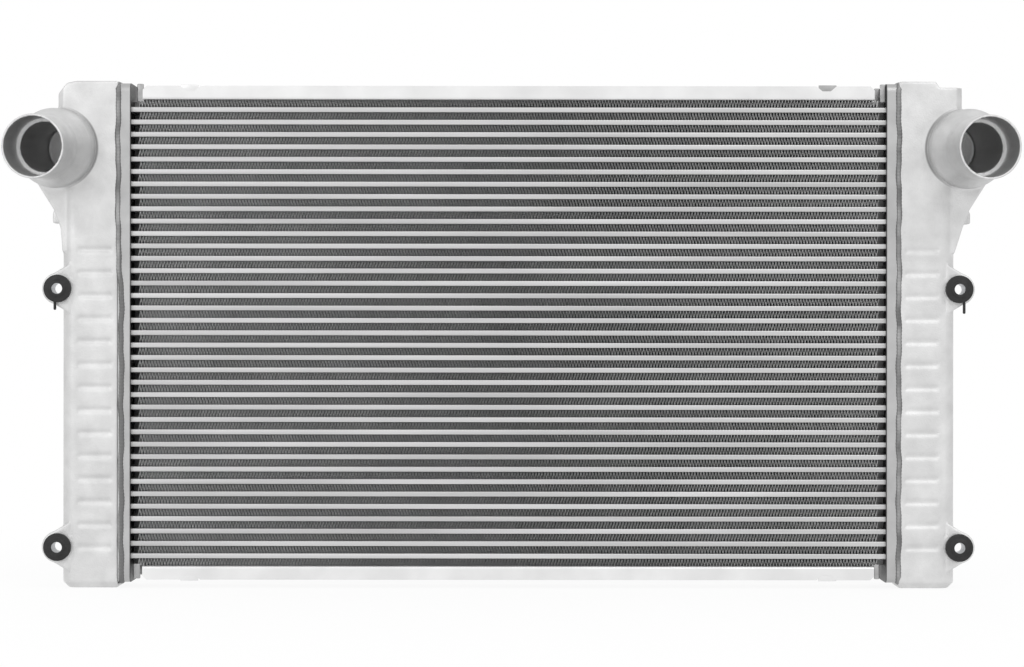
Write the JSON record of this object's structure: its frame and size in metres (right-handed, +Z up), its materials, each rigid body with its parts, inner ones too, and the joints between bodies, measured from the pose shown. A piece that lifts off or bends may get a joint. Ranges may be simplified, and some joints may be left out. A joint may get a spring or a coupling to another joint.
{
  "type": "charge air intercooler",
  "caption": "Wide flat air-to-air charge cooler: brazed flat tubes and folded fins between two cast end tanks, each with a forward hose spigot, hung on rubber isolated bolts.",
  "frame": {"origin": "centre of the rectangle of the isolator bolts, halfway along the steel sleeves", "axes": "+X along the tubes to the right as seen from the front, -Y the front that the hose spigots face and the bolts' heads sit on, +Z up"},
  "size_m": [0.9976, 0.1472, 0.5065],
  "materials": {
    "tube_aluminium": "brazed aluminium tube, matte",
    "fin_aluminium": "thin aluminium fin stock, matte",
    "sheet_aluminium": "pressed aluminium sheet, satin",
    "cast_aluminium": "sand-cast aluminium, fine grain",
    "black_rubber": "moulded rubber, matte",
    "zinc_plated_steel": "zinc plated"
  },
  "bodies": {
    "root": {"tube_01": "tube_aluminium", "tube_02": "tube_aluminium", "tube_03": "tube_aluminium", "tube_04": "tube_aluminium", "tube_05": "tube_aluminium", "tube_06": "tube_aluminium", "tube_07": "tube_aluminium", "tube_08": "tube_aluminium", "tube_09": "tube_aluminium", "tube_10": "tube_aluminium", "tube_11": "tube_aluminium", "tube_12": "tube_aluminium", "tube_13": "tube_aluminium", "tube_14": "tube_aluminium", "tube_15": "tube_aluminium", "tube_16": "tube_aluminium", "tube_17": "tube_aluminium", "tube_18": "tube_aluminium", "tube_19": "tube_aluminium", "tube_20": "tube_aluminium", "tube_21": "tube_aluminium", "tube_22": "tube_aluminium", "tube_23": "tube_aluminium", "tube_24": "tube_aluminium", "tube_25": "tube_aluminium", "tube_26": "tube_aluminium", "tube_27": "tube_aluminium", "tube_28": "tube_aluminium", "tube_29": "tube_aluminium", "tube_30": "tube_aluminium", "tube_31": "tube_aluminium", "tube_32": "tube_aluminium", "tube_33": "tube_aluminium", "tube_34": "tube_aluminium", "tube_35": "tube_aluminium", "tube_36": "tube_aluminium", "tube_37": "tube_aluminium", "turbulators": "fin_aluminium", "air_fins": "fin_aluminium", "header_left": "sheet_aluminium", "header_right": "sheet_aluminium", "side_plate_top": "sheet_aluminium", "side_plate_bottom": "sheet_aluminium", "tank_left": "cast_aluminium", "tank_right": "cast_aluminium", "isolator_grommets": "black_rubber", "isolator_sleeves": "zinc_plated_steel"}
  },
  "joints": []
}
